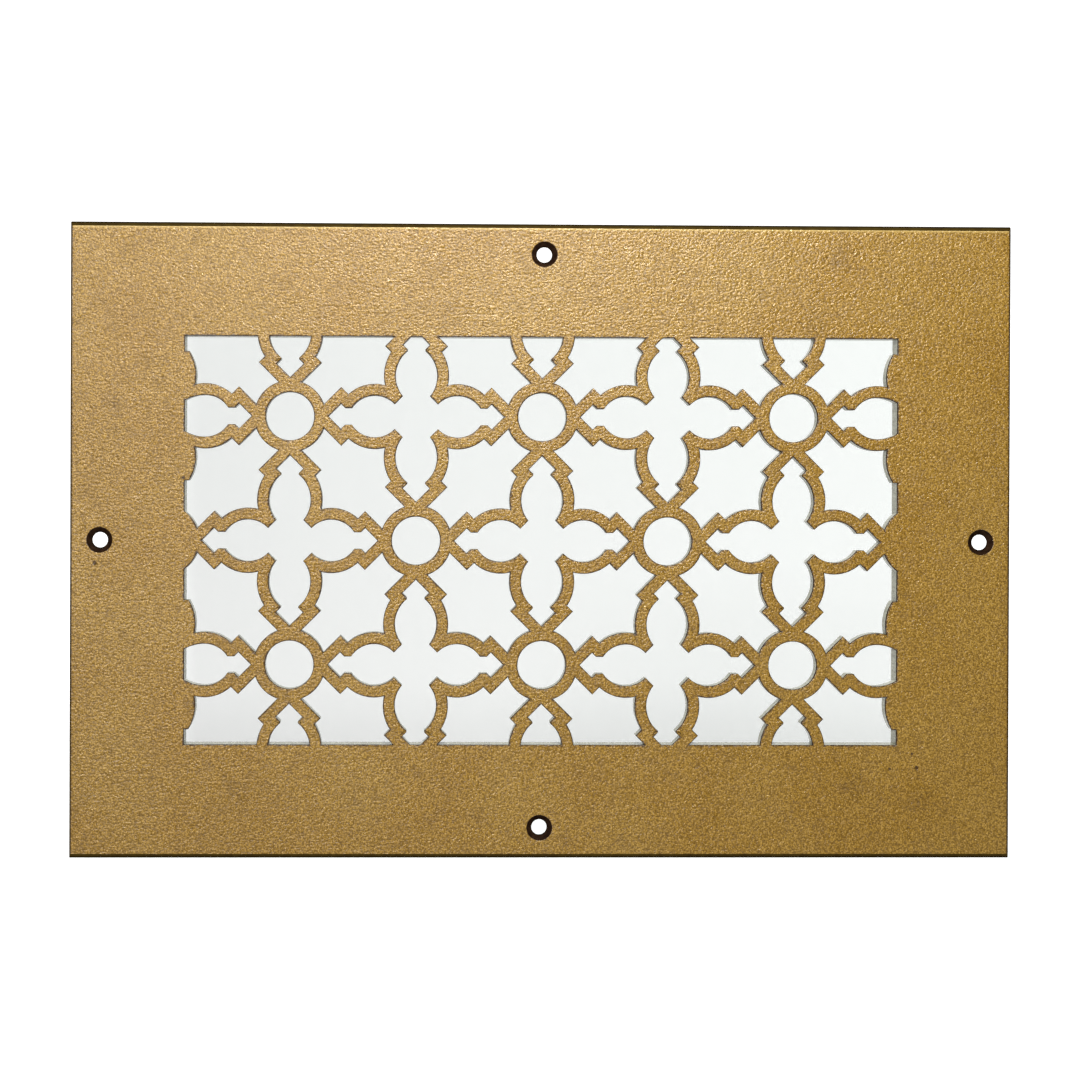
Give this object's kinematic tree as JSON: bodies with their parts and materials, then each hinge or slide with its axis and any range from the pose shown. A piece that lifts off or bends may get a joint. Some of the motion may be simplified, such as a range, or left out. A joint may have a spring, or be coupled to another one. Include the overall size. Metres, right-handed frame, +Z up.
{
  "type": "decorative vent cover",
  "caption": "Flat rectangular metal vent cover in antique gold, with a plain border, countersunk screw holes and a pierced field of rings and pointed crosses.",
  "frame": {"origin": "on the flat back, in the middle of the upper border, 88.1 mm above the middle of the plate", "axes": "+Z up along the short side, +X right along the long side, +Y backwards into the wall; the decorated front faces -Y"},
  "size_m": [0.318, 0.0064, 0.2146],
  "materials": {
    "gold_coat": "textured antique gold coat over a dark brown base, which shows on the cut edges"
  },
  "bodies": {
    "root": {"vent_cover": "gold_coat"}
  },
  "joints": []
}
